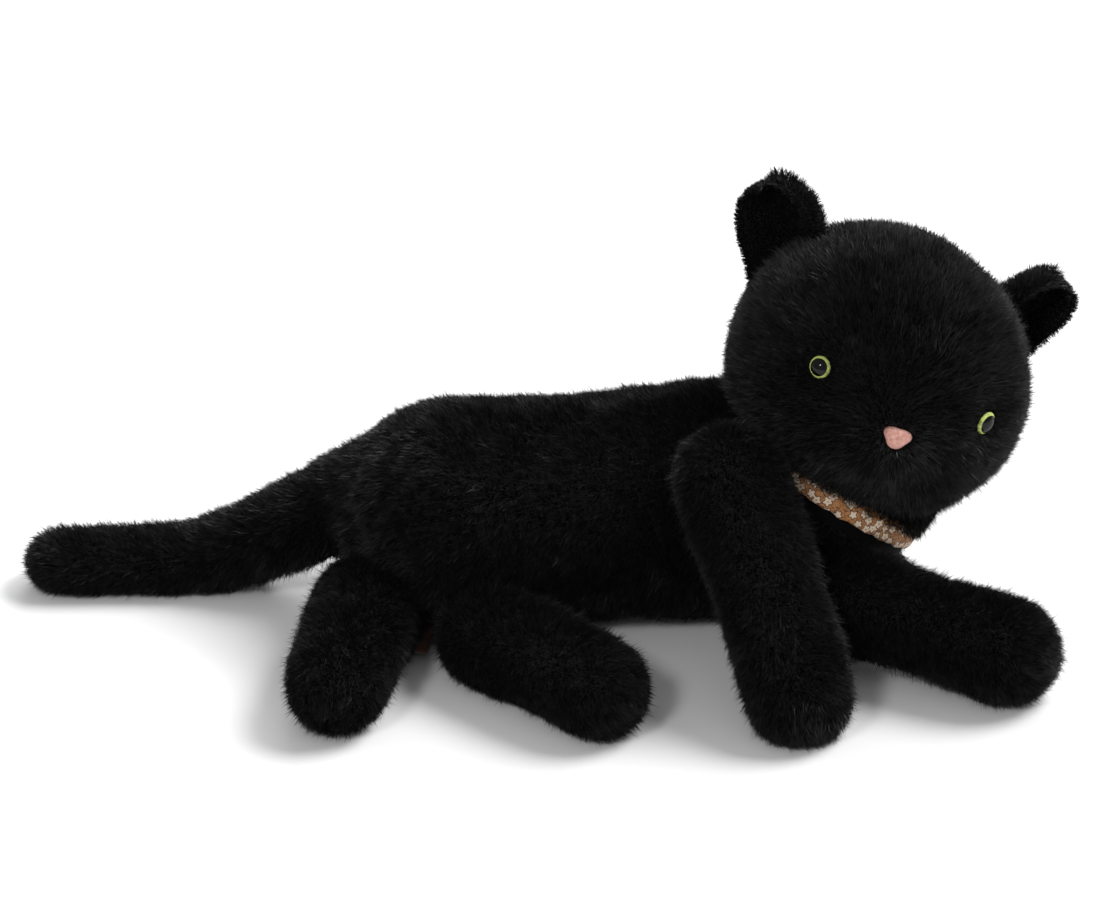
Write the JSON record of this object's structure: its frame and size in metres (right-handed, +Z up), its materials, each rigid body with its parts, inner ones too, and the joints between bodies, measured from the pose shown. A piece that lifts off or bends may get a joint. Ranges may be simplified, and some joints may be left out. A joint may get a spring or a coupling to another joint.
{
  "type": "plush cat",
  "caption": "Stuffed black fur cat lying down with jointed head, legs and tail, round eyes, a small pink nose and a printed cotton collar.",
  "frame": {"origin": "on the floor below the middle of the torso, the cat at rest", "axes": "+X from tail to chest, +Z up, +Y away from the side that the face looks to"},
  "size_m": [0.4145, 0.1821, 0.1726],
  "materials": {
    "black_fur": "short dense black plush pile",
    "stuffing": "white polyester fibre",
    "collar_cotton": "plain-weave cotton with small printed flowers",
    "label_ribbon": "brown woven ribbon, blank",
    "ear_lining": "black short velvet",
    "nose_satin": "pink satin stitch",
    "eye_disc": "yellow-green ring round a black pupil",
    "eye_dome": "clear glossy dome",
    "joint_plastic": "moulded natural white"
  },
  "bodies": {
    "torso": {"torso_cover": "black_fur", "torso_stuffing": "stuffing", "collar": "collar_cotton", "label_tag": "label_ribbon", "joint_washers": "joint_plastic"},
    "head": {"head_cover": "black_fur", "head_stuffing": "stuffing", "nose": "nose_satin", "eye_washers": "joint_plastic", "neck_disc": "joint_plastic", "neck_lock_ring": "joint_plastic", "right_ear_back": "black_fur", "right_ear_lining": "ear_lining", "left_ear_back": "black_fur", "left_ear_lining": "ear_lining", "right_eye": "eye_disc", "right_eye_dome": "eye_dome", "left_eye": "eye_disc", "left_eye_dome": "eye_dome"},
    "right_foreleg": {"right_foreleg_cover": "black_fur", "right_foreleg_stuffing": "stuffing", "right_foreleg_disc": "joint_plastic", "right_foreleg_lock_ring": "joint_plastic"},
    "left_foreleg": {"left_foreleg_cover": "black_fur", "left_foreleg_stuffing": "stuffing", "left_foreleg_disc": "joint_plastic", "left_foreleg_lock_ring": "joint_plastic"},
    "right_hind_leg": {"right_hind_leg_cover": "black_fur", "right_hind_leg_stuffing": "stuffing", "right_hind_leg_disc": "joint_plastic", "right_hind_leg_lock_ring": "joint_plastic"},
    "left_hind_leg": {"left_hind_leg_cover": "black_fur", "left_hind_leg_stuffing": "stuffing", "left_hind_leg_disc": "joint_plastic", "left_hind_leg_lock_ring": "joint_plastic"},
    "tail_base": {"tail_base_cover": "black_fur", "tail_base_stuffing": "stuffing"},
    "tail_middle": {"tail_middle_cover": "black_fur", "tail_middle_stuffing": "stuffing"},
    "tail_tip": {"tail_tip_cover": "black_fur", "tail_tip_stuffing": "stuffing"}
  },
  "joints": [
    {"name": "neck_turn", "type": "hinge", "parent": "torso", "child": "head", "pos_m": [0.09798, 0.00812, 0.10339], "axis": [0.3591, 0.191, 0.9135], "range_deg": [-40, 75]},
    {"name": "right_foreleg_swing", "type": "hinge", "parent": "torso", "child": "right_foreleg", "pos_m": [0.0338, -0.04489, 0.07865], "axis": [0, 0.7986, -0.6018], "range_deg": [0, 25]},
    {"name": "left_foreleg_swing", "type": "hinge", "parent": "torso", "child": "left_foreleg", "pos_m": [0.06898, -0.04334, 0.02878], "axis": [0, 0.9703, 0.2419], "range_deg": [-25, 0]},
    {"name": "right_hind_leg_swing", "type": "hinge", "parent": "torso", "child": "right_hind_leg", "pos_m": [-0.05656, -0.06152, 0.017], "axis": [0, 0.911, 0.4124], "range_deg": [-50, 0]},
    {"name": "left_hind_leg_swing", "type": "hinge", "parent": "torso", "child": "left_hind_leg", "pos_m": [-0.10402, -0.04114, 0.017], "axis": [0.6305, 0.5091, 0.5859], "range_deg": [-50, 0]},
    {"name": "tail_lift", "type": "hinge", "parent": "torso", "child": "tail_base", "pos_m": [-0.11308, 0.00703, 0.0394], "axis": [0, 1, 0], "range_deg": [0, 40]},
    {"name": "tail_middle_swing", "type": "hinge", "parent": "tail_base", "child": "tail_middle", "pos_m": [-0.13908, 0.00553, 0.027], "axis": [0, 0, 1], "range_deg": [-30, 30]},
    {"name": "tail_tip_swing", "type": "hinge", "parent": "tail_middle", "child": "tail_tip", "pos_m": [-0.17408, 0.00753, 0.0125], "axis": [0, 0, 1], "range_deg": [-30, 30]}
  ]
}
